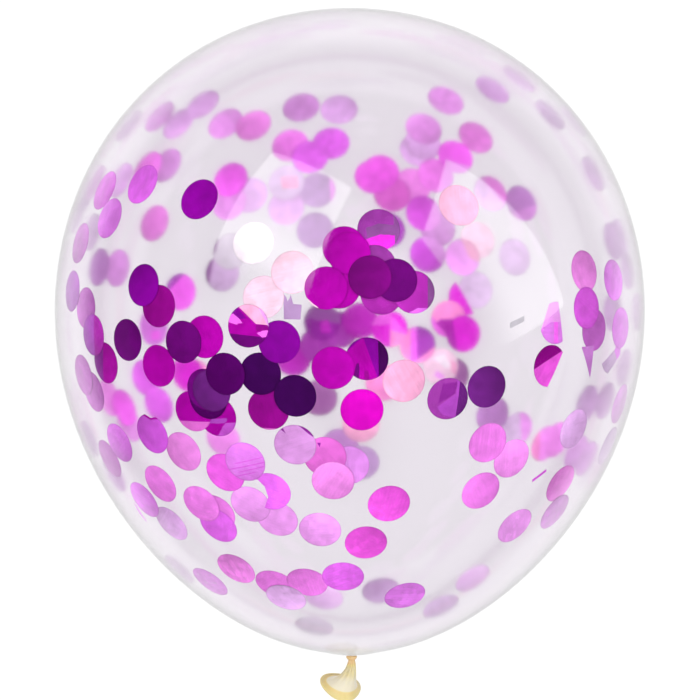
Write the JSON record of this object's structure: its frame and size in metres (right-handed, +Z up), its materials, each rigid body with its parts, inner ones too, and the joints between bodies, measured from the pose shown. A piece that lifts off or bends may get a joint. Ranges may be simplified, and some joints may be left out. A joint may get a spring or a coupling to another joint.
{
  "type": "giant confetti balloon",
  "caption": "Large clear round latex balloon, blown up and knotted, with pink foil confetti sealed inside; lies on its side on a small flat spot.",
  "frame": {"origin": "middle of the small flat spot in the underside, where the balloon rests, straight below its widest belt", "axes": "+Y along the balloon's long axis from the knot to the crown, +Z up from the flat spot through the belt, +X across"},
  "size_m": [0.4398, 0.5171, 0.4379],
  "materials": {
    "clear_latex": "clear, slightly milky, with a soft shine"
  },
  "bodies": {
    "root": {"latex_balloon": "clear_latex"}
  },
  "joints": []
}
